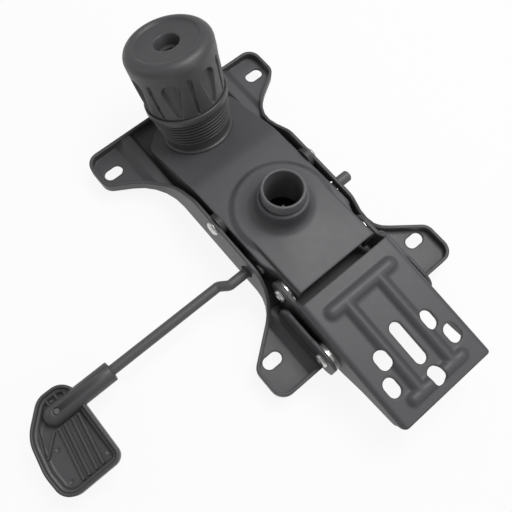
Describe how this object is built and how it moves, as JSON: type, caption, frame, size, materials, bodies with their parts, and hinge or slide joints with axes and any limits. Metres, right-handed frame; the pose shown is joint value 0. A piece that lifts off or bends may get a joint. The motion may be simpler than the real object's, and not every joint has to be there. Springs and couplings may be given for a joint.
{
  "type": "chair tilt mechanism",
  "caption": "Reclining tilt mechanism of an office chair: seat plate, sprung housing with gas lift socket, backrest bracket, height lever and tension knob.",
  "frame": {"origin": "centre of the four seat screw slots, in the plane of the face that meets the seat board", "axes": "+Z away from the seat board, towards the chair's floor in use; -Y towards the front of the chair, where the tension knob is; +Y towards the backrest; +X towards the height lever"},
  "size_m": [0.3367, 0.3354, 0.1077],
  "materials": {
    "coat": "satin black powder coat on pressed steel",
    "rod_coat": "satin black coat on round bar",
    "socket_steel": "satin black coat, worn bright at the lip",
    "zinc": "bright zinc plating",
    "dark_steel": "dull oiled steel",
    "spring_steel": "oiled spring steel",
    "nylon": "black nylon",
    "boot_plastic": "black soft plastic",
    "grip_plastic": "fine grained black plastic"
  },
  "bodies": {
    "seat": {"seat_plate": "coat", "guide_rivets": "zinc", "guide_washers": "zinc", "ear_rivets": "zinc", "ear_spacers": "zinc", "tension_bolt": "dark_steel", "bolt_anchor": "coat", "spring_cup": "zinc"},
    "housing": {"housing": "coat", "gas_lift_collar": "socket_steel", "bracket_rivets": "zinc", "bracket_spacers": "zinc", "cross_pin": "zinc", "lever_bushes": "nylon", "spring_seat": "zinc", "tension_spring": "spring_steel", "spring_boot": "boot_plastic"},
    "bracket": {"backrest_bracket": "coat"},
    "lever": {"lever_rod": "rod_coat", "rod_clips": "zinc", "valve_finger": "zinc", "paddle": "grip_plastic", "paddle_screw": "dark_steel"},
    "lock": {"lock_pin": "rod_coat", "lock_clip": "zinc"},
    "knob": {"tension_knob": "grip_plastic", "knob_nut": "zinc"}
  },
  "joints": [
    {"name": "housing_tilt", "type": "hinge", "parent": "seat", "child": "housing", "pos_m": [0, -0.001, 0.03], "axis": [1, 0, 0], "range_deg": [-7.8, 0], "stiffness_Nm_per_rad": 60, "springref_deg": 14.32, "deforming": ["tension_spring", "spring_boot"]},
    {"name": "bracket_tilt", "type": "hinge", "parent": "housing", "child": "bracket", "pos_m": [0, 0.07, 0.026], "axis": [1, 0, 0], "range_deg": [0, 18.1]},
    {"name": "lever_turn", "type": "hinge", "parent": "housing", "child": "lever", "pos_m": [0, 0.039, 0.02], "axis": [1, 0, 0], "range_deg": [-10, 0]},
    {"name": "lock_slide", "type": "slide", "parent": "housing", "child": "lock", "axis": [-1, 0, 0], "range_m": [0, 0.006]},
    {"name": "knob_turn", "type": "hinge", "parent": "seat", "child": "knob", "pos_m": [0, -0.082, 0.016], "axis": [0, -0.342, 0.9397], "continuous": true}
  ],
  "couplings": [
    {"joint": "bracket_tilt", "follows": "housing_tilt", "ratio": -2.31}
  ]
}
